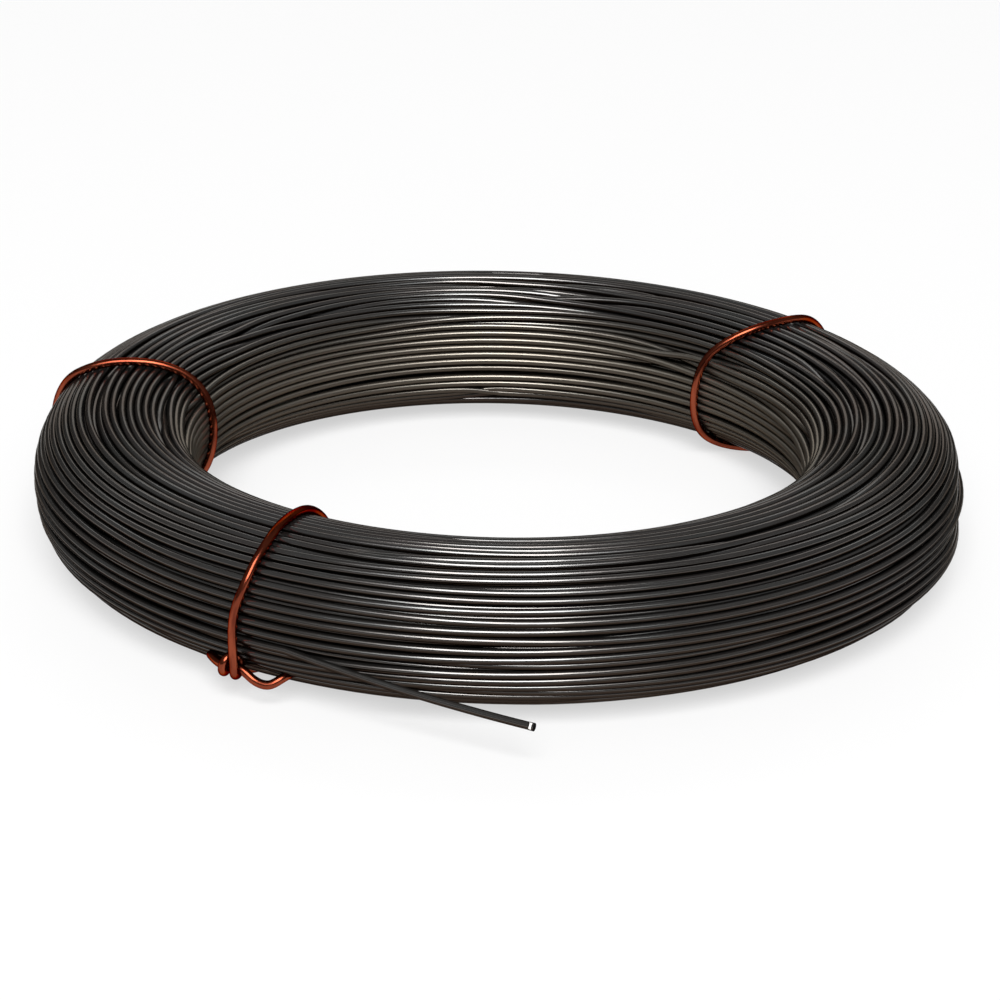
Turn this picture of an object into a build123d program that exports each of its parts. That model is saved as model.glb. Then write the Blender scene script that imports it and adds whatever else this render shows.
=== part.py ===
# A coil of 16 gauge black annealed binding wire, lying flat on the three copper-washed wires that tie it.
# Millimetres, +Z up. The origin is on the coil's axis, at the level of the surface that it lies on.
# The coil's section is a superellipse: turns wound at random settle into one, between a circle and a rectangle.
from build123d import *
from math import acos, asin, copysign, cos, degrees, hypot, pi, radians, sin, sqrt
import os

# The wire, and the coil that it is wound into
wire_diameter = 1.6
bore_diameter = 145.0
coil_width = 38.0  # from the bore to the outside, on the radius
coil_height = 34.0
section_roundness = 2.26  # exponent of the section's superellipse: 2 is an ellipse
wall_facets = 8  # equal steps that round each wall, inside and outside, from one end of the coil to the other

# The turns that show on the coil's two ends
end_turns = 8  # turns that lie on each end before it rounds over into the walls
turn_pitch = 2.3  # the turns lie a little apart
turn_relief = 0.7  # how deep the groove between two turns is

# The gaps on each wall where its turns lie furthest apart. The steps of the wall stand for the turns between.
wall_gaps = [2, 4, 6]  # steps of the wall that have a gap
wall_corners = [1, 7]  # steps that have a plain corner
wall_gap_width = 2.0
wall_gap_depth = 1.4

# The free end of the wire, which stands off the outside of the coil
free_end_length = 56.0
free_end_azimuth = 248.0
free_end_drop = 4.0  # below the middle of the coil, where it leaves
free_end_spring = 3.3  # degrees that it springs outwards from the tangent
free_end_dip = 4.2  # degrees that it points down
root_bend_radius = 60.0
root_bend_angle = 20.0

# The tie wires: name, azimuth round the coil, and skew of the tie's plane from the radius, in degrees
tie_diameter = 1.8
tie_sides = 8  # flats round the wire
tie_bends = 22  # small bends by which a tie goes round the coil's section
tie_clearance = 0.3
ties = [("tie_front", 239.8, 0.0), ("tie_left", 168.2, 10.0), ("tie_right", 39.5, -20.0)]

# The closure of a tie: one end is hooked round the other, which crosses it and runs on as a curled tail
hook_clearance = 0.1
hook_height = -10.9  # of the crossing strand, from the middle of the coil
hook_turn = 150.0  # degrees that the hooked end goes round the crossing strand
hook_run = 3.6  # how far it moves along the crossing strand in that turn
hook_bends = 4
cross_run = 5.0  # from the hook to where the crossing strand turns under the coil
cross_settle = 7  # bends by which the crossing strand has come back into the tie's plane
curl_start = 3.0  # how far past the hook the crossing strand stays straight
curl_reach = 13.0  # how far along the coil the curled tail goes
curl_sag = 3.2  # how far the curled tail hangs below the hook

half_width = coil_width / 2
half_height = coil_height / 2
middle_radius = bore_diameter / 2 + half_width
outer_radius = middle_radius + half_width
middle_level = tie_diameter + tie_clearance + half_height
tie_offset = tie_clearance + tie_diameter / 2


def section_height(across):
    """Height of the section's outline above its middle, at a distance across from its middle."""
    return half_height * (1 - abs(across / half_width) ** section_roundness) ** (1 / section_roundness)


def section_width(up):
    """Distance of the section's outline from its middle, at a height above or below it."""
    return half_width * (1 - abs(up / half_height) ** section_roundness) ** (1 / section_roundness)


def end_turns_outline(last_crest):
    """Crests and grooves of the turns on the upper end, from the bore side outwards."""
    points = []
    for half_pitch in range(2 * end_turns - 1):
        across = half_pitch * turn_pitch / 2 - last_crest
        groove = turn_relief * (half_pitch % 2)
        points.append((middle_radius + across, section_height(across) - groove))
    return points


def outer_wall_outline(last_crest):
    """Corners and gaps of the outer wall, from the upper end to the lower, without the two crests."""
    start = acos((last_crest / half_width) ** (section_roundness / 2))
    points = []
    for step in sorted(wall_gaps + wall_corners):
        angle = start * (1 - 2 * step / wall_facets)
        level = copysign(half_height * abs(sin(angle)) ** (2 / section_roundness), angle)
        across = section_width(level)
        if step in wall_corners:
            points.append((middle_radius + across, level))
        else:
            above, below = level + wall_gap_width / 2, level - wall_gap_width / 2
            sunk = 1 - wall_gap_depth / hypot(across, level)
            points.append((middle_radius + section_width(above), above))
            points.append((middle_radius + across * sunk, level * sunk))
            points.append((middle_radius + section_width(below), below))
    return points


def section_outline():
    """The whole section of the wound coil, on the +X side of its axis, with its middle at height 0."""
    last_crest = (end_turns - 1) / 2 * turn_pitch
    top, wall = end_turns_outline(last_crest), outer_wall_outline(last_crest)
    outer_half = top + wall
    return outer_half + [(2 * middle_radius - radius, -level) for radius, level in outer_half]


def coil_body():
    """The wound turns as one turned solid with its bore, and the free end of the wire standing off it."""
    azimuth, spring, dip = (radians(a) for a in (free_end_azimuth, free_end_spring, free_end_dip))
    leave_radius = middle_radius + section_width(free_end_drop) - wire_diameter / 2
    leaving = Vector(leave_radius * cos(azimuth), leave_radius * sin(azimuth), middle_level - free_end_drop)
    heading = Vector(0, 1, 0).rotate(Axis.Z, free_end_azimuth - free_end_spring)
    heading = heading * cos(dip) - Vector(0, 0, sin(dip))
    sideways = Vector(0, 0, 1).cross(heading)
    with BuildPart() as coil:
        with BuildSketch(Plane.XZ.shift_origin((0, 0, middle_level))):
            with BuildLine():
                Polyline(*section_outline(), close=True)
            make_face()
        revolve(axis=Axis.Z)
        with BuildLine(Plane(origin=leaving, x_dir=heading, z_dir=heading.cross(sideways))) as free_end:
            Line((0, 0), (free_end_length, 0))
            JernArc((0, 0), tangent=(-1, 0), radius=root_bend_radius, arc_size=-root_bend_angle)
        with BuildSketch(Plane(origin=free_end.wire() @ 0, z_dir=free_end.wire() % 0)):
            Circle(wire_diameter / 2)
        sweep(path=free_end.wire())
    coil.part.label = "wire_coil"
    return coil.part


def tie_reach(radius, skew):
    """Distance along a tie's plane from the middle of the coil's width to a circle round the coil's axis."""
    along = middle_radius * cos(radians(skew))
    return abs(sqrt(along**2 + radius**2 - middle_radius**2) - along)


def tie_loop(outer, inner, level):
    """The tie round the coil's section, from its lower outer corner past the bore and over the top to the outside."""
    points = []
    start = -asin((-hook_height / level) ** (section_roundness / 2))
    for bend in range(tie_bends + 1):
        angle = start - (2 * pi + start) * bend / tie_bends
        reach = outer if cos(angle) > 0 else inner
        across = copysign(reach * abs(cos(angle)) ** (2 / section_roundness), cos(angle))
        up = copysign(level * abs(sin(angle)) ** (2 / section_roundness), sin(angle))
        points.append((across, -cross_run * max(0, 1 - bend / cross_settle), up))
    return points


def tie_hook(crossing):
    """The hooked end, which winds round the crossing strand from outside it to under and behind it."""
    step = radians(hook_turn) / hook_bends
    radius = (tie_diameter + hook_clearance) / cos(step / 2)
    points = []
    for bend in range(hook_bends + 1):
        across, up = radius * cos(step * bend), -radius * sin(step * bend)
        points.append((crossing + across, -hook_run * bend / hook_bends, hook_height + up))
    return points


def tie_wire(name, azimuth, skew):
    """One tie. Its points are given as distances out from the middle of the coil's width, along the coil and up."""
    outer = tie_reach(outer_radius, skew) + tie_offset / cos(radians(skew))
    inner = tie_reach(bore_diameter / 2, skew) + tie_offset / cos(radians(skew))
    level = half_height + tie_offset
    crossing = outer - tie_diameter - hook_clearance
    curl_bottom = hook_height - curl_sag
    curled_tail = [
        (0, curl_reach, -level),
        (half_width / 2, curl_reach, tie_diameter / 4 - level),
        (crossing - tie_diameter, curl_reach - tie_diameter, curl_bottom - tie_diameter / 2),
        (crossing, (curl_start + curl_reach) / 2, curl_bottom),
        (crossing, curl_start, hook_height),
        (crossing, -cross_run, hook_height),
    ]
    centre = Vector(middle_radius, 0, middle_level).rotate(Axis.Z, azimuth)
    outwards = Vector(1, 0, 0).rotate(Axis.Z, azimuth + skew)
    points = []
    for out, along, up in curled_tail + tie_loop(outer, inner, level)[1:] + tie_hook(crossing):
        in_plane = centre + outwards * out + Vector(0, 0, up)
        points.append(in_plane.rotate(Axis.Z, degrees(along / outer_radius)))
    with BuildPart() as tie:
        with BuildLine() as route:
            Polyline(*points)
        with BuildSketch(Plane(origin=route.wire() @ 0, z_dir=route.wire() % 0)):
            RegularPolygon(tie_diameter / 2, tie_sides)
        sweep(path=route.wire(), transition=Transition.RIGHT)
    tie.part.label = name
    return tie.part


os.makedirs("parts", exist_ok=True)
for piece in [coil_body()] + [tie_wire(*tie) for tie in ties]:
    export_step(piece, f"parts/{piece.label}.step")
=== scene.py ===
from math import asin, copysign, cos, pi, radians, sin, sqrt

import bpy
import numpy as np
from bpy.props import FloatProperty, FloatVectorProperty, IntProperty, PointerProperty
from mathutils import Matrix, Vector


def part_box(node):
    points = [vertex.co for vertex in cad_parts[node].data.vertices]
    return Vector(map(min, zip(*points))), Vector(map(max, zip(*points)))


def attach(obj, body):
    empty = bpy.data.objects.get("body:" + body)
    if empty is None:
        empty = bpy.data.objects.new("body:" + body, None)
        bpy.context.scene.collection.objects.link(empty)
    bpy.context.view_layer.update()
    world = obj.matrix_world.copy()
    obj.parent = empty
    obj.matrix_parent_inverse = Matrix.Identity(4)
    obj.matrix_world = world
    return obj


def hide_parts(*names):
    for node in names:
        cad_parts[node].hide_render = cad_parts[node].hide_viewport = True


bl_info = {
    "name": "Coil of binding wire",
    "version": (1, 0, 0),
    "blender": (4, 5, 0),
    "location": "3D View > Sidebar > Wire coil",
    "description": "Winds a coil of black annealed binding wire, ties it and sets it on a floor",
    "category": "Add Mesh",
}

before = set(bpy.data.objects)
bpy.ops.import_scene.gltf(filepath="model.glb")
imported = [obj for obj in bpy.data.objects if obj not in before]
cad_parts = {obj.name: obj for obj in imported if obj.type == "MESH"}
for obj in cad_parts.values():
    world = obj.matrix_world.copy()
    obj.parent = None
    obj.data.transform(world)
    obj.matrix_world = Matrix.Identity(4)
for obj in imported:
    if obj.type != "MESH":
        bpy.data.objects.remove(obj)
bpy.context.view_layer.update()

# The coil's place and section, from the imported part
inside_margin = 0.00005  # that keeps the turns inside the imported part's outline
coil_low, coil_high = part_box("wire_coil")
coil_corners = np.array([corner.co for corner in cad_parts["wire_coil"].data.vertices])
outer_radius = min(coil_high.x, coil_high.y) - inside_margin
bore_radius = float(np.hypot(coil_corners[:, 0], coil_corners[:, 1]).min())
middle_radius = (outer_radius + bore_radius) / 2
middle_level = (coil_low.z + coil_high.z) / 2
half_width = (outer_radius - bore_radius) / 2
half_height = (coil_high.z - coil_low.z) / 2
section_roundness = 2.26  # exponent of the section's superellipse

# The winding
stations = 150  # points that a turn is worked out at
start_azimuth = radians(246)  # where each turn starts, and where the free end leaves
wander_reach = 0.16  # turns over which the wire's small wander changes
drift_reach = 1.7  # turns over which its slow drift changes
settling_steps = 240
relisting_steps = 30  # steps after which the turns that may touch are looked for again
looking_reach = 1.45  # wire diameters between turns that may come to touch
stations_at_once = 10  # stations whose turns are looked through together, which spares memory
outward = 0.0004  # how far a step spreads the turns from the middle, which packs the outermost ones
resting_gap = 0.00006  # gap that the turns keep from each other, as no wire is quite straight
least_distance = 1e-9  # which keeps a push finite where two turns are at one place
push_share = 0.55  # share of an overlap that one step takes away
stiffness = 0.35  # how far a step moves the wire to the line through its neighbours
last_stiffness = 0.15  # the same in the last steps, in which the turns part fully
last_steps = 20
easing_steps = 3  # steps that only take kinks out of the wire
shown_margin = 3  # stations that a shown stretch is made longer by at each end
wound_pieces = ["bore_turns", "inner_turns", "middle_turns", "outer_turns", "last_turns"]

# The ring of buried turns behind the shown ones
core_overlap = 0.4  # wire diameters that it reaches out under them
core_steps = 120
core_sides = 40

# Stretches where the outer wall lies further in, or further out where the depth is negative: azimuth,
# half width, depth, and the level that the stretch reaches up to
hollows = [
    (radians(-4), radians(18), 0.0018, 0.0030),
    (radians(-4), radians(18), -0.0018, -0.0085),
    (radians(-25), radians(75), -0.0023, -0.0092),
    (radians(200), radians(50), -0.0006, -0.0100),
]
hollow_fade = 3  # wire diameters over which a stretch ends above its level

# The stray turn that stands off the outer wall
stray_azimuth = radians(-5)
stray_half_width = radians(19)
stray_reach = 0.0022  # how far it is lifted off the wall
stray_level = 0.0022  # above the middle of the coil
stray_search = 2  # wire diameters above and below its level that the turn is looked for in

# The free end of the wire
free_end_length = 0.0573
free_end_level = -0.0043  # from the middle of the coil, where it leaves
free_end_spring = radians(1.0)
free_end_dip = radians(8.0)
free_end_lift = radians(6.7)  # how far it bends back up towards its tip
free_end_points = 24
held_stations = 40  # stations of the last turn that stay at the level that it leaves from

# Its tip, which the cutter has nipped: places along it, and how deep the nip is there, in wire radii
nip_rings = [(0, 0), (0.0001, 0.34), (0.00062, 0.56), (0.0007, 0), (0.0011, 0)]
nip_facing = (0, -0.84, 0.545)  # direction that the nipped side faces
tip_sides = 24
crisp_angle = 1.2  # radians between two faces, past which their edge stays crisp

# The tie wires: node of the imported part, piece, azimuth round the coil, and skew of the tie's plane
# from the radius
tie_bends = 22  # bends by which a tie goes round the coil's section
ties = [
    ("tie_front", "front_tie", 239.8, 0.0),
    ("tie_left", "left_tie", 168.2, 10.0),
    ("tie_right", "right_tie", 39.5, -20.0),
]

# How far each tie leans along the coil off its plane. Both are in degrees: places round the section,
# which count from the outside over the top, and the lean there.
tie_leans = {
    "tie_front": ((0, 30, 60, 90, 120, 150, 180, 320), (-0.1, 1.2, 1.5, 0.7, -0.2, -0.3, 0, 0)),
    "tie_left": (
        (0, 30, 60, 90, 120, 140, 160, 180, 195, 230, 320),
        (-1, -0.8, 1.5, 1.2, 0.6, 0.3, 1.1, 1.7, 2.2, 1.5, 0),
    ),
    "tie_right": (
        (0, 30, 55, 70, 90, 110, 130, 150, 180, 210, 240, 265, 290, 320),
        (4, 4.2, 3, 1.2, -0.6, -1.8, -0.8, 0.7, 1.2, 2.4, 4.4, 4.5, 2.5, 0),
    ),
}

# The knot of a tie: one end is hooked round the other, which crosses it and runs on as a curled tail.
# The tail's places are distances out from the middle of the coil's width, along the coil and up.
hook_clearance = 0.0001
hook_height = -0.0105  # of the crossing strand, from the middle of the coil
hook_start = 0.0006  # place along the coil
hook_turn = 480.0  # degrees that the hooked end goes round the crossing strand
hook_run = 0.0041  # how far it moves along the crossing strand in that turn
hook_bends = 16
cross_run = 0.0095  # from the hook to where the crossing strand turns under the coil
cross_settle = 7  # bends by which the crossing strand has come back into the tie's plane
tail_places = [
    (0.0130, 0.0105, -0.0120),
    (0.0150, 0.0106, -0.0116),
    (0.0165, 0.0094, -0.0125),
    (0.0175, 0.0080, -0.0134),
    (0.0180, 0.0063, -0.0134),
    (0.0181, 0.0042, -0.0128),
    (0.0182, 0.0026, -0.0116),
    (0.0182, 0.0005, -0.0105),
    (0.0181, -0.0022, -0.0108),
    (0.0180, -0.0048, -0.0112),
    (0.0171, -0.0073, -0.0105),
    (0.0159, -0.0094, -0.0106),
]

# The binding wire's skin. A noise is how fine it is along the wire and twice across it, for each
# metre, its detail and its roughness. Edges are two values, between which something fades in.
skin_patches = ((60, 500, 500), 4.0, 0.5)
skin_streaks = ((180, 5200, 5200), 5.0, 0.6)
skin_specks = ((2200, 2600, 2600), 2.0, 0.5)
patch_edges = (0.42, 0.62)
streak_edges = (0.35, 0.65)
streak_colour = (0.1, 0.098, 0.095)
streak_share = 0.3
upper_side_edges = (0.05, 0.35)  # how far up the surface faces, where the painted shade below gives way to the skin
bore_sheen_reach = 0.006  # how far from the bore the painted sheen reaches
bore_sheen_above = 0.6  # share of lighter steel, as painted sheen, on the upper side at the bore
bore_sheen_below = 0.15
burnish_roughness = 0.2  # roughness that the wire gains near the bore
skin_metallic = 0.95
skin_edge_tint = (0.25, 0.235, 0.22)  # of what it reflects at a low angle
skin_anisotropy = 0.7  # from the fine lines that drawing left along the wire
shine_edges = (0.3, 0.75)
shine_roughness = (0.16, 0.1)  # between the streaks and on them
skin_relief = {"Strength": 0.06, "Distance": 0.00004}
# Painted shade: the buried turns are darker than the wire's own skin
buried_shade_colour = (0.03, 0.026, 0.023)
buried_roughness = 0.8

# The copper wash on the ties, in the same way
wash_patches = ((130, 700, 700), 5.0, 0.6)
wash_streaks = ((300, 4200, 4200), 5.0, 0.6)
wash_patch_edges = (0.38, 0.6)
wash_edge_tint = (0.16, 0.06, 0.04)
wash_shine_edges = (0.3, 0.7)
wash_roughness = (0.24, 0.16)
wash_relief = {"Strength": 0.3, "Distance": 0.00005}

# The camera that the photograph was taken with, as fitted to the coil's outlines
photo_size = 1000
camera_distance = 0.7799  # from the middle of the coil
camera_elevation = 0.3758  # angle above the level
camera_roll = -0.0213
focal_pixels = 3256  # focal length
middle_pixel = (499.3, 463.3)  # where the middle of the coil is seen

# The softboxes: name, elevation round from the front, width, height, and share of the lamp's
# radiance. The front one is brightest in its middle and fades out to both sides.
lamp_distance = 6.0
front_softboxes = [
    ("front_softbox_middle", 44, 3.2, 3.9, 0.72),
    ("front_softbox_edge", 44, 4.8, 3.0, 0.2),
    ("front_softbox_rim", 44, 7.5, 2.0, 0.08),
]
back_softboxes = [
    ("back_softbox_low", 158, 2.6, 1.8, 1.15),
    ("back_softbox_high", 138, 6.0, 1.4, 1.0),
]
floor_half_size = 6.0
floor_roughness = 0.9


class WireSettings(bpy.types.PropertyGroup):
    """The wire and how it is wound"""

    diameter: FloatProperty(
        name="Wire diameter",
        description="Diameter of the binding wire",
        default=0.00178,
        unit="LENGTH",
    )
    spacing: FloatProperty(
        name="Turn spacing",
        description="Spacing of the turns as laid",
        default=0.00208,
        unit="LENGTH",
    )
    wander: FloatProperty(
        name="Wander",
        description="How far a turn wanders from its place",
        default=0.0006,
        unit="LENGTH",
    )
    drift: FloatProperty(
        name="Drift",
        description="How far the turns drift together",
        default=0.0009,
        unit="LENGTH",
    )
    seed: IntProperty(name="Seed", description="Seed of the random winding", default=3)
    shown_depth: FloatProperty(
        name="Shown depth",
        description="Depth of the turns that are made, in wire diameters",
        default=2.9,
    )
    sides: IntProperty(name="Sides", description="Sides of the wire's round section", default=10)
    oxide: FloatVectorProperty(
        name="Oxide",
        description="Colour of the black oxide skin",
        default=(0.165, 0.165, 0.162),
        subtype="COLOR",
    )
    scale: FloatVectorProperty(
        name="Scale",
        description="Colour of the browner skin",
        default=(0.16, 0.149, 0.142),
        subtype="COLOR",
    )
    # Painted shade: the darker colour that the side facing down takes
    painted_shade_below: FloatVectorProperty(
        name="Underside",
        description="Colour of the skin below",
        default=(0.036, 0.026, 0.02),
        subtype="COLOR",
    )
    # Lighter steel that is mixed in near the bore as painted sheen
    steel: FloatVectorProperty(
        name="Steel",
        description="Colour of the burnished steel",
        default=(0.34, 0.3, 0.24),
        subtype="COLOR",
    )
    # How far the painted sheen near the bore is mixed in
    bore_sheen: FloatProperty(name="Burnish", description="How far the bore is burnished", default=1.0)


class TieSettings(bpy.types.PropertyGroup):
    """The wires that tie the coil"""

    diameter: FloatProperty(
        name="Tie diameter",
        description="Diameter of the tie wire",
        default=0.002,
        unit="LENGTH",
    )
    sides: IntProperty(name="Sides", description="Sides of the tie's round section", default=24)
    copper: FloatVectorProperty(
        name="Copper",
        description="Colour of the copper wash",
        default=(0.275, 0.062, 0.03),
        subtype="COLOR",
    )
    tarnish: FloatVectorProperty(
        name="Tarnish",
        description="Colour of the dulled copper",
        default=(0.145, 0.03, 0.016),
        subtype="COLOR",
    )


class StageSettings(bpy.types.PropertyGroup):
    """The floor and the light"""

    floor: FloatVectorProperty(
        name="Floor",
        description="Colour of the floor",
        default=(0.93, 0.93, 0.93),
        subtype="COLOR",
    )
    whiteness: FloatProperty(
        name="Whiteness",
        description="Share of plain white in the floor as it is seen",
        default=0.6,
    )
    lamp_radiance: FloatProperty(
        name="Lamp",
        description="Radiance of the softboxes in front",
        default=13.0,
    )
    back_radiance: FloatProperty(
        name="Back lamp",
        description="Radiance of the softboxes behind",
        default=1.3,
    )
    fill: FloatProperty(name="Fill", description="Strength of the light from all round", default=0.16)


def new_object(name, data):
    """A new object in the scene that holds this mesh, lamp or camera."""
    made = bpy.data.objects.new(name, data)
    bpy.context.scene.collection.objects.link(made)
    return made


def new_material(name):
    """A new material, with its tree and the shader in it."""
    material = bpy.data.materials.new(name)
    material.use_nodes = True
    tree = material.node_tree
    return material, tree, tree.nodes["Principled BSDF"]


def add_node(tree, kind, inputs=None, **settings):
    """A new node. Its inputs take a value or the link from another node's output."""
    node = tree.nodes.new(kind)
    for name, value in settings.items():
        setattr(node, name, value)
    for name, value in (inputs or {}).items():
        if isinstance(value, bpy.types.NodeSocket):
            tree.links.new(value, node.inputs[name])
        else:
            node.inputs[name].default_value = value
    return node


def maths(tree, operation, first, second):
    """What an operation makes of two values."""
    inputs = {0: first, 1: second}
    return add_node(tree, "ShaderNodeMath", inputs, operation=operation).outputs[0]


def inner_section(settings):
    """Half width and half height of the section that the middle of the wire keeps to."""
    return half_width - settings.diameter / 2, half_height - settings.diameter / 2


def section_fill(points, width, height):
    """Where points lie in the section: 0 in its middle, 1 on the outline of these half sizes."""
    across, up = points[..., 0], points[..., 1]
    return np.abs(across / width) ** section_roundness + np.abs(up / height) ** section_roundness


def outline_point(angle, width, height):
    """The point across and up at an angle round the section's outline of these half sizes."""
    across = copysign(width * abs(cos(angle)) ** (2 / section_roundness), cos(angle))
    up = copysign(height * abs(sin(angle)) ** (2 / section_roundness), sin(angle))
    return across, up


def azimuths_off(azimuths, azimuth):
    """How far round from one azimuth the others are, from minus to plus half a turn."""
    return (azimuths - azimuth + pi) % (2 * pi) - pi


def laid_places(settings):
    """Each turn's place in the section as laid: in layers from the bore outwards, up and down."""
    width, height = inner_section(settings)
    layer_step = settings.spacing * sqrt(3) / 2
    layers = int(width / layer_step)
    rows = int(height / settings.spacing) + 1
    places = []
    for layer in range(2 * layers + 1):
        half_turn = layer % 2
        ups = (np.arange(-rows, rows + 1) + half_turn / 2) * settings.spacing
        row = np.stack([np.full(len(ups), (layer - layers) * layer_step), ups], 1)
        row = row[section_fill(row, width, height) <= 1]
        places.extend(row[::-1] if half_turn else row)
    return np.array(places)


def smooth_noise(random, count, reach):
    """Noise of unit spread in two directions that changes smoothly along the wire."""
    knots = random.standard_normal((int(count / reach) + 5, 2))
    at = np.arange(count) / reach + 1
    first = at.astype(int)
    t = (at - first)[:, None]
    a, b, c, d = (knots[first + step] for step in (-1, 0, 1, 2))
    squared = 2 * a - 5 * b + 4 * c - d
    cubed = 3 * b - 3 * c + d - a
    return b + t * (c - a) / 2 + t**2 * squared / 2 + t**3 * cubed / 2


def laid_wire(settings, places):
    """The wire as it is laid from place to place, with its wander and drift."""
    share = (np.arange(stations) / stations)[None, :, None]
    wire = (places[:-1, None] * (1 - share) + places[1:, None] * share).reshape(-1, 2)
    random = np.random.default_rng(settings.seed)
    wire += settings.wander * smooth_noise(random, len(wire), wander_reach * stations)
    wire += settings.drift * smooth_noise(random, len(wire), drift_reach * stations)
    return wire


def near_pairs(turns, reach):
    """Pairs of stations at the same azimuth that lie within reach, as indices along the wire."""
    count = turns.shape[1]
    firsts, seconds = [], []
    upper = np.triu(np.ones((len(turns), len(turns)), bool), 1)
    for start in range(0, count, stations_at_once):
        part = turns[:, start:start + stations_at_once].transpose(1, 0, 2)
        across = part[:, :, None, 0] - part[:, None, :, 0]
        up = part[:, :, None, 1] - part[:, None, :, 1]
        station, first, second = np.nonzero((across**2 + up**2 < reach**2) & upper)
        firsts.append(first * count + station + start)
        seconds.append(second * count + station + start)
    return np.concatenate(firsts), np.concatenate(seconds)


def push_apart(wire, first, second, resting):
    """Takes away a share of the overlap of each pair that is nearer than turns rest."""
    apart = wire[second] - wire[first]
    distance = np.hypot(apart[:, 0], apart[:, 1]) + least_distance
    overlap = np.maximum(0, resting - distance)
    push = (push_share / 2 * overlap / distance)[:, None] * apart
    for axis in (0, 1):
        wire[:, axis] += np.bincount(second, push[:, axis], len(wire))
        wire[:, axis] -= np.bincount(first, push[:, axis], len(wire))


def stiffened(wire, share):
    """The wire with each point moved a share of the way to the line through its neighbours."""
    eased = wire.copy()
    eased[1:-1] += share * ((wire[:-2] + wire[2:]) / 2 - wire[1:-1])
    return eased


def outer_limits(settings, azimuths, ups):
    """Half width that the outer wall leaves to the wire's middle, at each azimuth and level."""
    limit = np.full(len(azimuths), half_width - settings.diameter / 2)
    for azimuth, half_span, depth, top in hollows:
        off = azimuths_off(azimuths, azimuth)
        share = np.cos(np.clip(off / half_span, -1, 1) * pi / 2) ** 2
        below = np.clip((top - ups) / (hollow_fade * settings.diameter) + 1, 0, 1)
        limit -= depth * share * below
    return limit


def keep_inside(settings, wire, azimuths):
    """Brings the points that have left the coil's section back to its outline."""
    width, height = inner_section(settings)
    outer_width = outer_limits(settings, azimuths, wire[:, 1])
    fill = section_fill(wire, np.where(wire[:, 0] > 0, outer_width, width), height)
    outside = fill > 1
    wire[outside] *= (fill[outside] ** (-1 / section_roundness))[:, None]


def settled_wire(settings):
    """The whole wire as points across and up from the section's middle, and their azimuths."""
    places = laid_places(settings)
    width, height = inner_section(settings)
    level_share = abs(free_end_level / height) ** section_roundness
    leaving = width * (1 - level_share) ** (1 / section_roundness), free_end_level
    places[-1] = leaving
    wire = laid_wire(settings, places)
    azimuths = start_azimuth + 2 * pi * (np.arange(len(wire)) % stations) / stations
    resting = settings.diameter + resting_gap
    for step in range(settling_steps):
        wire *= 1 + outward
        if step % relisting_steps == 0:
            turns = wire.reshape(-1, stations, 2)
            first, second = near_pairs(turns, looking_reach * resting)
        push_apart(wire, first, second, resting)
        wire = stiffened(wire, stiffness if step < settling_steps - last_steps else last_stiffness)
        keep_inside(settings, wire, azimuths)
        wire[-held_stations:] = leaving
    for step in range(easing_steps):
        wire = stiffened(wire, stiffness)
    return np.concatenate([wire, [leaving]]), np.append(azimuths, start_azimuth)


def place_stray_turn(settings, wire, azimuths):
    """Lifts the outermost turn by the stray's place off the wall."""
    here = np.abs(azimuths_off(azimuths, stray_azimuth)) < pi / stations
    level = np.abs(wire[:, 1] - stray_level) < stray_search * settings.diameter
    candidates = np.nonzero(here & level)[0]
    middle = candidates[np.argmax(wire[candidates, 0])]
    span = int(stray_half_width / (2 * pi) * stations)
    lift = np.cos(np.linspace(-1, 1, 2 * span + 1) * pi / 2) ** 2
    wire[middle - span:middle + span + 1, 0] += stray_reach * lift
    wire[:, 0] = np.minimum(wire[:, 0], half_width - settings.diameter / 2)


def shown_stretches(settings, wire):
    """First and last index of each stretch of the wire near enough to the surface to be seen."""
    width, height = inner_section(settings)
    fill = section_fill(wire, width, height) ** (1 / section_roundness)
    near = (1 - fill) * height < settings.shown_depth * settings.diameter
    near[-stations:] = True
    shown = near.copy()
    for step in range(1, shown_margin + 1):
        shown[step:] |= near[:-step]
        shown[:-step] |= near[step:]
    steps = np.diff(np.concatenate([[0], shown.astype(int), [0]]))
    return list(zip(np.nonzero(steps == 1)[0], np.nonzero(steps == -1)[0]))


def wire_points(wire, azimuths):
    """The wire's points in space."""
    radius = middle_radius + wire[:, 0]
    level = middle_level + wire[:, 1]
    return np.stack([radius * np.cos(azimuths), radius * np.sin(azimuths), level], 1)


def free_end(leaving):
    """Points of the free end, from the place where it leaves the coil."""
    turn = start_azimuth - free_end_spring
    dip = free_end_dip - free_end_lift * (np.arange(free_end_points) + 0.5) / free_end_points
    heading = np.stack([-sin(turn) * np.cos(dip), cos(turn) * np.cos(dip), -np.sin(dip)], 1)
    return leaving + np.cumsum(heading, axis=0) * free_end_length / free_end_points


def nipped_tip(name, end, heading, diameter, material):
    """The wire's last stretch, which the cutter has nipped flat on one side just before the end."""
    flat_side = Vector(nip_facing)
    flat_side = (flat_side - heading * flat_side.dot(heading)).normalized()
    beside = heading.cross(flat_side)
    corners, faces = [], []
    for along, nipped in nip_rings:
        middle = Vector(end) + heading * along
        for side in range(tip_sides):
            angle = 2 * pi * side / tip_sides
            out = min(cos(angle), 1 - nipped) * diameter / 2
            corners.append(middle + flat_side * out + beside * sin(angle) * diameter / 2)
    for ring in range(len(nip_rings) - 1):
        here, ahead = ring * tip_sides, (ring + 1) * tip_sides
        for side in range(tip_sides):
            aside = (side + 1) % tip_sides
            faces.append((here + side, here + aside, ahead + aside, ahead + side))
    last_ring = (len(nip_rings) - 1) * tip_sides
    faces.append(tuple(reversed(range(tip_sides))))
    faces.append(tuple(range(last_ring, last_ring + tip_sides)))
    mesh = bpy.data.meshes.new(name)
    mesh.from_pydata(corners, [], faces)
    mesh.materials.append(material)
    return new_object(name, mesh)


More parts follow.
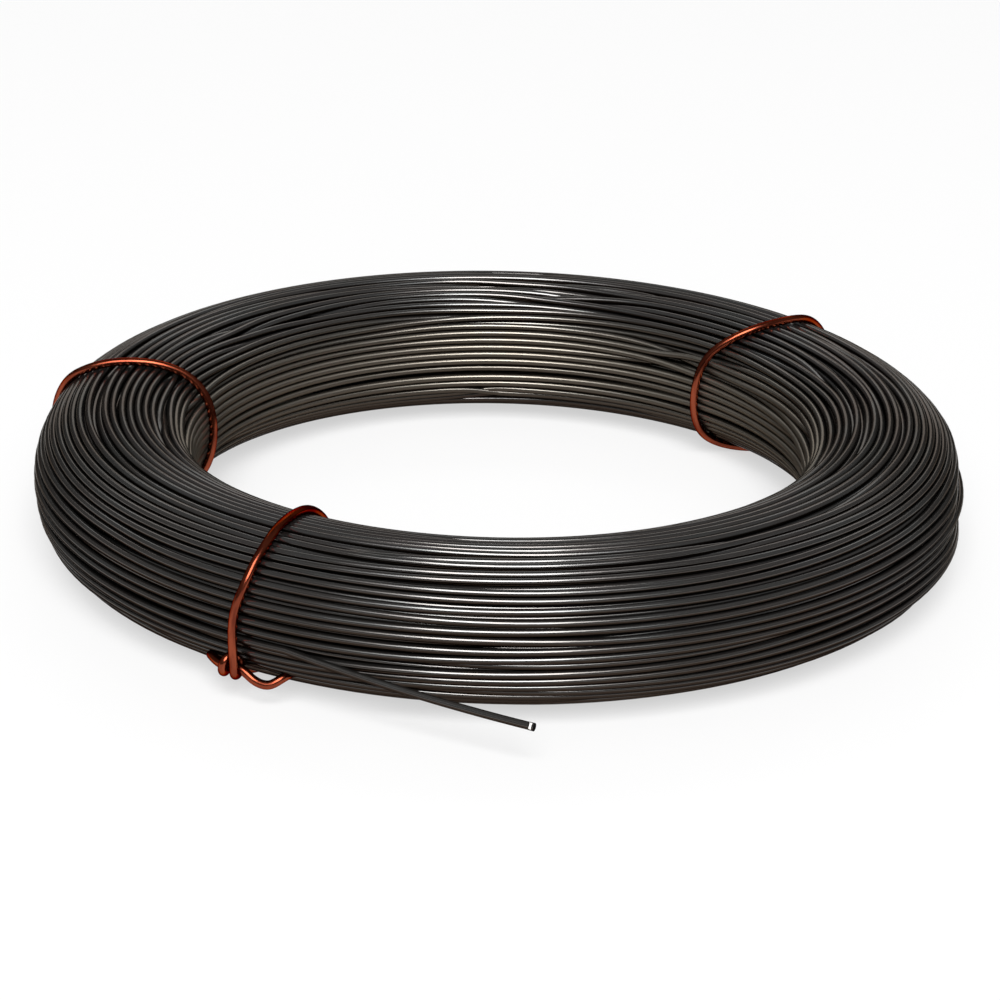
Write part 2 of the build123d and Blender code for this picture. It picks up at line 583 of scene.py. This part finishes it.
def core_ring(name, width, height, material):
    """The ring of buried turns, as one closed surface round the coil's axis."""
    corners, faces = [], []
    for step in range(core_steps):
        azimuth = 2 * pi * step / core_steps
        for side in range(core_sides):
            out, up = outline_point(2 * pi * side / core_sides, width, height)
            radius = middle_radius + out
            corners.append((radius * cos(azimuth), radius * sin(azimuth), middle_level + up))
    for step in range(core_steps):
        here, ahead = step * core_sides, (step + 1) % core_steps * core_sides
        for side in range(core_sides):
            beside = (side + 1) % core_sides
            faces.append((here + side, ahead + side, ahead + beside, here + beside))
    mesh = bpy.data.meshes.new(name)
    mesh.from_pydata(corners, [], faces)
    mesh.shade_smooth()
    mesh.materials.append(material)
    return new_object(name, mesh)


def stored(tree, geometry, name, value):
    """A mesh or curve with a vector stored on its points under this name."""
    inputs = {"Geometry": geometry, "Name": name, "Value": value}
    kind = "GeometryNodeStoreNamedAttribute"
    return add_node(tree, kind, inputs, data_type="FLOAT_VECTOR").outputs[0]


def round_wire_tree():
    """Geometry nodes that make round wires along a mesh's edges, with a grain that follows each."""
    tree = bpy.data.node_groups.new("round_wire", "GeometryNodeTree")
    sockets = {
        "Geometry": "NodeSocketGeometry",
        "Diameter": "NodeSocketFloat",
        "Sides": "NodeSocketInt",
        "Smooth Route": "NodeSocketBool",
        "Material": "NodeSocketMaterial",
    }
    for name, kind in sockets.items():
        tree.interface.new_socket(name, in_out="INPUT", socket_type=kind)
    tree.interface.new_socket("Geometry", in_out="OUTPUT", socket_type="NodeSocketGeometry")
    given = add_node(tree, "NodeGroupInput").outputs

    route = add_node(tree, "GeometryNodeMeshToCurve", {"Mesh": given["Geometry"]})
    smooth = add_node(
        tree,
        "GeometryNodeCurveSplineType",
        {"Curve": route.outputs[0], "Selection": given["Smooth Route"]},
        spline_type="NURBS",
    )
    radius = maths(tree, "MULTIPLY", given["Diameter"], 0.5)
    circle = add_node(
        tree,
        "GeometryNodeCurvePrimitiveCircle",
        {"Resolution": given["Sides"], "Radius": radius},
    )
    place = add_node(tree, "GeometryNodeInputPosition")
    section = stored(tree, circle.outputs["Curve"], "around", place.outputs[0])
    tube = add_node(
        tree,
        "GeometryNodeCurveToMesh",
        {"Curve": smooth.outputs[0], "Profile Curve": section, "Fill Caps": True},
    )

    along = add_node(tree, "GeometryNodeInputNamedAttribute", {"Name": "along"})
    around = add_node(
        tree,
        "GeometryNodeInputNamedAttribute",
        {"Name": "around"},
        data_type="FLOAT_VECTOR",
    )
    sides = add_node(tree, "ShaderNodeSeparateXYZ", {0: around.outputs[0]})
    grain = add_node(
        tree,
        "ShaderNodeCombineXYZ",
        {0: along.outputs[0], 1: sides.outputs[0], 2: sides.outputs[1]},
    )
    marked = stored(tree, tube.outputs[0], "wire_grain", grain.outputs[0])

    rounded = add_node(
        tree,
        "GeometryNodeSetShadeSmooth",
        {"Geometry": marked, "Shade Smooth": True},
    )
    angle = add_node(tree, "GeometryNodeInputMeshEdgeAngle")
    cut_edge = maths(tree, "GREATER_THAN", angle.outputs[0], crisp_angle)
    crisp = add_node(
        tree,
        "GeometryNodeSetShadeSmooth",
        {"Geometry": rounded.outputs[0], "Selection": cut_edge, "Shade Smooth": False},
        domain="EDGE",
    )
    real = add_node(tree, "GeometryNodeRealizeInstances", {"Geometry": crisp.outputs[0]})
    finished = add_node(
        tree,
        "GeometryNodeSetMaterial",
        {"Geometry": real.outputs[0], "Material": given["Material"]},
    )
    add_node(tree, "NodeGroupOutput", {"Geometry": finished.outputs[0]})
    return tree


def round_wire(name, lines, diameter, sides, material, smooth_route=False):
    """A piece of round wires. A line is an array of points and one of how far along they are."""
    mesh = bpy.data.meshes.new(name)
    points = np.concatenate([line for line, along in lines])
    distances = np.concatenate([along for line, along in lines])
    edges = []
    first = 0
    for line, along in lines:
        edges += [(first + step, first + step + 1) for step in range(len(line) - 1)]
        first += len(line)
    mesh.from_pydata(points.tolist(), edges, [])
    stored_distances = mesh.attributes.new("along", "FLOAT", "POINT")
    stored_distances.data.foreach_set("value", distances.astype(np.float32))
    piece = new_object(name, mesh)
    modifier = piece.modifiers.new("Round wire", "NODES")
    modifier.node_group = bpy.data.node_groups.get("round_wire") or round_wire_tree()
    values = {
        "Diameter": diameter,
        "Sides": sides,
        "Smooth Route": smooth_route,
        "Material": material,
    }
    for item in modifier.node_group.interface.items_tree:
        if item.in_out == "INPUT" and item.name in values:
            modifier[item.identifier] = values[item.name]
    shaped = piece.evaluated_get(bpy.context.evaluated_depsgraph_get())
    piece.data = bpy.data.meshes.new_from_object(shaped)
    piece.data.name = name
    piece.modifiers.clear()
    return piece


def noise(tree, place, fineness, detail, roughness):
    """Noise from 0 to 1 at these coordinates, as fine along each of them as this says."""
    mapping = add_node(tree, "ShaderNodeMapping", {"Vector": place, "Scale": fineness})
    inputs = {
        "Vector": mapping.outputs[0],
        "Scale": 1.0,
        "Detail": detail,
        "Roughness": roughness,
    }
    return add_node(tree, "ShaderNodeTexNoise", inputs).outputs["Fac"]


def ranged(tree, value, low, high, to_low, to_high):
    """A value taken from one range to another, and kept in it."""
    inputs = {
        "Value": value,
        "From Min": low,
        "From Max": high,
        "To Min": to_low,
        "To Max": to_high,
    }
    return add_node(tree, "ShaderNodeMapRange", inputs).outputs[0]


def mixed(tree, share, first, second):
    """A colour mixed from two by a share."""
    mix = add_node(tree, "ShaderNodeMix", {"Factor": share}, data_type="RGBA")
    for socket, colour in ((mix.inputs[6], first), (mix.inputs[7], second)):
        if isinstance(colour, bpy.types.NodeSocket):
            tree.links.new(colour, socket)
        else:
            socket.default_value = (*colour, 1)
    return mix.outputs[2]


def distance_from_axis(tree, place):
    """How far a place is from the coil's axis."""
    parts = add_node(tree, "ShaderNodeSeparateXYZ", {0: place}).outputs
    plan = add_node(tree, "ShaderNodeCombineXYZ", {0: parts["X"], 1: parts["Y"]}).outputs[0]
    length = add_node(tree, "ShaderNodeVectorMath", {0: plan}, operation="LENGTH")
    return length.outputs["Value"]


def annealed_wire(settings):
    """Black oxide skin over steel, browner in patches, with painted shade on the side that faces down
    and lighter steel painted in near the bore as sheen, where the wire is also rougher.
    """
    material, tree, shader = new_material("annealed_wire")
    grain = add_node(tree, "ShaderNodeAttribute", attribute_name="wire_grain").outputs["Vector"]
    coordinates = add_node(tree, "ShaderNodeTexCoord").outputs
    facing = add_node(tree, "ShaderNodeSeparateXYZ", {0: coordinates["Normal"]}).outputs["Z"]
    from_axis = distance_from_axis(tree, coordinates["Object"])
    patches = ranged(tree, noise(tree, grain, *skin_patches), *patch_edges, 0, 1)
    streaks = noise(tree, grain, *skin_streaks)
    specks = noise(tree, grain, *skin_specks)

    skin = mixed(tree, patches, settings.scale, settings.oxide)
    streaked = ranged(tree, streaks, *streak_edges, 0, streak_share)
    upper_skin = mixed(tree, streaked, skin, streak_colour)
    # Near the bore, lighter steel is mixed in on both sides as painted sheen
    bore_sheen_end = bore_radius + bore_sheen_reach
    burnished = ranged(tree, from_axis, bore_sheen_end, bore_radius, 0, settings.bore_sheen)
    sheen_share_above = ranged(tree, burnished, 0, 1, 0, bore_sheen_above)
    sheen_share_below = ranged(tree, burnished, 0, 1, 0, bore_sheen_below)
    upper_side = mixed(tree, sheen_share_above, upper_skin, settings.steel)
    shaded_lower_side = mixed(tree, sheen_share_below, settings.painted_shade_below, settings.steel)
    # Where the surface faces down, the colour turns to painted shade
    above = ranged(tree, facing, *upper_side_edges, 0, 1)
    tree.links.new(mixed(tree, above, shaded_lower_side, upper_side), shader.inputs["Base Color"])
    shader.inputs["Metallic"].default_value = skin_metallic
    shader.inputs["IOR"].default_value = 1.5
    shader.inputs["Specular Tint"].default_value = (*skin_edge_tint, 1)

    shine = ranged(tree, streaks, *shine_edges, *shine_roughness)
    dulled = ranged(tree, burnished, 0, 1, 0, burnish_roughness)
    tree.links.new(maths(tree, "ADD", shine, dulled), shader.inputs["Roughness"])
    shader.inputs["Anisotropic"].default_value = skin_anisotropy
    drawn = add_node(tree, "ShaderNodeTangent", direction_type="RADIAL", axis="Z")
    tree.links.new(drawn.outputs[0], shader.inputs["Tangent"])
    bump = add_node(tree, "ShaderNodeBump", {**skin_relief, "Height": specks})
    tree.links.new(bump.outputs[0], shader.inputs["Normal"])
    return material


def buried_shade():
    """A dull dark colour for the turns that lie too deep to be made one by one: painted shade, darker
    than the wire's skin, seen only between the shown turns.
    """
    material, _, shader = new_material("buried_shade")
    shader.inputs["Base Color"].default_value = (*buried_shade_colour, 1)
    shader.inputs["Roughness"].default_value = buried_roughness
    return material


def copper_washed_wire(settings):
    """Thin copper wash over steel, dulled in patches along the tie."""
    material, tree, shader = new_material("copper_washed_wire")
    grain = add_node(tree, "ShaderNodeAttribute", attribute_name="wire_grain").outputs["Vector"]
    patches = ranged(tree, noise(tree, grain, *wash_patches), *wash_patch_edges, 0, 1)
    streaks = noise(tree, grain, *wash_streaks)
    colour = mixed(tree, patches, settings.tarnish, settings.copper)
    shine = ranged(tree, streaks, *wash_shine_edges, *wash_roughness)
    tree.links.new(colour, shader.inputs["Base Color"])
    tree.links.new(shine, shader.inputs["Roughness"])
    shader.inputs["Metallic"].default_value = 1.0
    shader.inputs["Specular Tint"].default_value = (*wash_edge_tint, 1)
    bump = add_node(tree, "ShaderNodeBump", {**wash_relief, "Height": streaks})
    tree.links.new(bump.outputs[0], shader.inputs["Normal"])
    return material


def tie_reach(radius, skew):
    """Distance in a tie's plane from the middle of the coil's width to a circle round its axis."""
    along = middle_radius * cos(radians(skew))
    return abs(sqrt(along**2 + radius**2 - middle_radius**2) - along)


def tie_loop(outer, inner, level, leans):
    """The tie round the section, from its lower outer corner past the bore and over the top."""
    points = []
    start = -asin((-hook_height / level) ** (section_roundness / 2))
    for bend in range(tie_bends + 1):
        angle = start - (2 * pi + start) * bend / tie_bends
        across, up = outline_point(angle, outer if cos(angle) > 0 else inner, level)
        lean = radians(np.interp(np.degrees(angle) + 360, *leans)) * outer_radius
        points.append((across, lean - cross_run * max(0, 1 - bend / cross_settle), up))
    return points


def tie_hook(crossing, diameter):
    """The hooked end, which winds round the crossing strand from outside it to behind it."""
    step = radians(hook_turn) / hook_bends
    radius = (diameter + hook_clearance) / cos(step / 2)
    points = []
    for bend in range(hook_bends + 1):
        across, up = radius * cos(step * bend), -radius * sin(step * bend)
        along = hook_start - hook_run * bend / hook_bends
        points.append((crossing + across, along, hook_height + up))
    return points


def tie_route(settings, azimuth, skew, leans):
    """Points of one tie from its curled tail round the coil to its hook."""
    outer = tie_reach(outer_radius, skew) + settings.diameter / 2 / cos(radians(skew))
    inner = tie_reach(bore_radius, skew) + settings.diameter / 2 / cos(radians(skew))
    level = half_height + settings.diameter / 2
    crossing = outer - settings.diameter - hook_clearance
    round_axis = Matrix.Rotation(radians(azimuth), 3, "Z")
    centre = round_axis @ Vector((middle_radius, 0, middle_level))
    outwards = Matrix.Rotation(radians(azimuth + skew), 3, "Z") @ Vector((1, 0, 0))
    points = []
    loop = tie_loop(outer, inner, level, leans)
    for out, along, up in tail_places + loop[1:] + tie_hook(crossing, settings.diameter):
        in_plane = centre + outwards * out + Vector((0, 0, up))
        points.append(Matrix.Rotation(along / outer_radius, 3, "Z") @ in_plane)
    return np.array(points)


def lengths_along(points):
    """How far along a line each of its points is."""
    steps = np.linalg.norm(np.diff(points, axis=0), axis=1)
    return np.concatenate([[0], np.cumsum(steps)])


class WIRECOIL_OT_wind_turns(bpy.types.Operator):
    """Wind the wire into a coil and make the turns that show, the free end and the buried core"""

    bl_idname = "wire_coil.wind_turns"
    bl_label = "Wind the turns"

    def execute(self, context):
        settings = context.scene.wire_settings
        material = annealed_wire(settings)
        wire, azimuths = settled_wire(settings)
        place_stray_turn(settings, wire, azimuths)
        points = wire_points(wire, azimuths)
        points = np.concatenate([points, free_end(points[-1])])
        along = lengths_along(points)
        stretches = shown_stretches(settings, wire)
        stretches[-1] = stretches[-1][0], len(points)
        shown_length = np.cumsum([last - first for first, last in stretches])
        pieces = []
        for part, name in enumerate(wound_pieces):
            low, high = (shown_length[-1] * end / len(wound_pieces) for end in (part, part + 1))
            lines = [
                (points[first:last], along[first:last])
                for (first, last), reached in zip(stretches, shown_length)
                if low < reached <= high
            ]
            pieces.append(round_wire(name, lines, settings.diameter, settings.sides, material))
        heading = Vector(points[-1] - points[-2]).normalized()
        pieces.append(nipped_tip("free_tip", points[-1], heading, settings.diameter, material))
        depth = (settings.shown_depth - core_overlap) * settings.diameter
        core = core_ring("buried_turns", half_width - depth, half_height - depth, buried_shade())
        pieces.append(core)
        for piece in pieces:
            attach(piece, "root")
            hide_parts("wire_coil")
        return {"FINISHED"}


class WIRECOIL_OT_bend_ties(bpy.types.Operator):
    """Bend the three tie wires round the coil"""

    bl_idname = "wire_coil.bend_ties"
    bl_label = "Bend the ties"

    def execute(self, context):
        settings = context.scene.tie_settings
        material = copper_washed_wire(settings)
        for name, piece_name, azimuth, skew in ties:
            route = tie_route(settings, azimuth, skew, tie_leans[name])
            lines = [(route, lengths_along(route))]
            size = settings.diameter, settings.sides
            piece = round_wire(piece_name, lines, *size, material, smooth_route=True)
            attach(piece, "root")
            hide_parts(name)
        return {"FINISHED"}


class WIRECOIL_OT_set_stage(bpy.types.Operator):
    """Set the floor, the softboxes, the fill light and the camera"""

    bl_idname = "wire_coil.set_stage"
    bl_label = "Set the stage"

    def execute(self, context):
        settings = context.scene.stage_settings
        make_floor(settings)
        make_light(settings)
        make_camera()
        return {"FINISHED"}


def make_floor(settings):
    """A wide pale floor under the coil, which is partly plain white where it is seen."""
    mesh = bpy.data.meshes.new("floor")
    signs = [(-1, -1), (1, -1), (1, 1), (-1, 1)]
    corners = [(x * floor_half_size, y * floor_half_size, 0) for x, y in signs]
    mesh.from_pydata(corners, [], [(0, 1, 2, 3)])
    material, tree, shader = new_material("studio_floor")
    shader.inputs["Base Color"].default_value = (*settings.floor, 1)
    shader.inputs["Roughness"].default_value = floor_roughness
    shader.inputs["Specular IOR Level"].default_value = 0.0
    seen = add_node(tree, "ShaderNodeLightPath").outputs
    mirrored = maths(tree, "MAXIMUM", seen["Is Camera Ray"], seen["Is Glossy Ray"])
    shown = maths(tree, "MAXIMUM", mirrored, seen["Is Transmission Ray"])
    share = maths(tree, "MULTIPLY", shown, settings.whiteness)
    white = add_node(tree, "ShaderNodeEmission", {"Color": (1, 1, 1, 1), "Strength": 1.0})
    surfaces = {0: share, 1: shader.outputs[0], 2: white.outputs[0]}
    lit = add_node(tree, "ShaderNodeMixShader", surfaces)
    tree.links.new(lit.outputs[0], tree.nodes["Material Output"].inputs["Surface"])
    mesh.materials.append(material)
    floor = new_object("floor", mesh)


def make_softbox(name, elevation, width, height, radiance):
    """A softbox straight in front of the coil, or past the zenith behind it, that points at it."""
    lamp = bpy.data.lights.new(name, "AREA")
    lamp.shape = "RECTANGLE"
    lamp.size = width
    lamp.size_y = height
    lamp.energy = radiance * pi * width * height
    softbox = new_object(name, lamp)
    softbox.location = (0, -lamp_distance * cos(elevation), lamp_distance * sin(elevation))
    softbox.rotation_euler = (pi / 2 - elevation, 0, 0)


def make_light(settings):
    """Softboxes in front of the coil, weak ones behind and over it, and an even fill."""
    groups = [
        (front_softboxes, settings.lamp_radiance),
        (back_softboxes, settings.back_radiance),
    ]
    for softboxes, radiance in groups:
        for name, elevation, width, height, share in softboxes:
            make_softbox(name, radians(elevation), width, height, radiance * share)
    world = bpy.data.worlds.new("fill")
    world.use_nodes = True
    background = world.node_tree.nodes["Background"]
    background.inputs["Color"].default_value = (1, 1, 1, 1)
    background.inputs["Strength"].default_value = settings.fill
    bpy.context.scene.world = world
    bpy.context.scene.view_settings.view_transform = "Standard"


def make_camera():
    """The camera at the photograph's viewing angle, with the small shift and roll of its framing."""
    data = bpy.data.cameras.new("camera")
    data.sensor_width = 36
    data.lens = focal_pixels / photo_size * data.sensor_width
    data.shift_x = 0.5 - middle_pixel[0] / photo_size
    data.shift_y = middle_pixel[1] / photo_size - 0.5
    data.clip_start = 0.01
    back = Vector((0, -cos(camera_elevation), sin(camera_elevation)))
    right = Vector((1, 0, 0))
    up = back.cross(right)
    turned_right = right * cos(camera_roll) - up * sin(camera_roll)
    turned_up = right * sin(camera_roll) + up * cos(camera_roll)
    turning = Matrix((turned_right, turned_up, back)).transposed().to_4x4()
    place = Vector((0, 0, middle_level)) + back * camera_distance
    camera = new_object("camera", data)
    camera.matrix_world = Matrix.Translation(place) @ turning
    bpy.context.scene.camera = camera


class WIRECOIL_PT_panel(bpy.types.Panel):
    """The coil's sizes, colours and steps"""

    bl_label = "Wire coil"
    bl_space_type = "VIEW_3D"
    bl_region_type = "UI"
    bl_category = "Wire coil"

    def draw(self, context):
        for group in property_groups:
            settings = getattr(context.scene, group)
            box = self.layout.box()
            for name in settings.bl_rna.properties.keys():
                if name not in ("rna_type", "name"):
                    box.prop(settings, name)
        for operator in operators:
            self.layout.operator(operator.bl_idname)


property_groups = {
    "wire_settings": WireSettings,
    "tie_settings": TieSettings,
    "stage_settings": StageSettings,
}
operators = (WIRECOIL_OT_wind_turns, WIRECOIL_OT_bend_ties, WIRECOIL_OT_set_stage)


def register():
    for kind in (*property_groups.values(), *operators, WIRECOIL_PT_panel):
        bpy.utils.register_class(kind)
    for name, group in property_groups.items():
        setattr(bpy.types.Scene, name, PointerProperty(type=group))


def unregister():
    for name in property_groups:
        delattr(bpy.types.Scene, name)
    for kind in (WIRECOIL_PT_panel, *reversed(operators), *reversed(property_groups.values())):
        bpy.utils.unregister_class(kind)


def main():
    register()
    bpy.ops.wire_coil.wind_turns()
    bpy.ops.wire_coil.bend_ties()
    bpy.ops.wire_coil.set_stage()


if __name__ == "__main__":
    main()
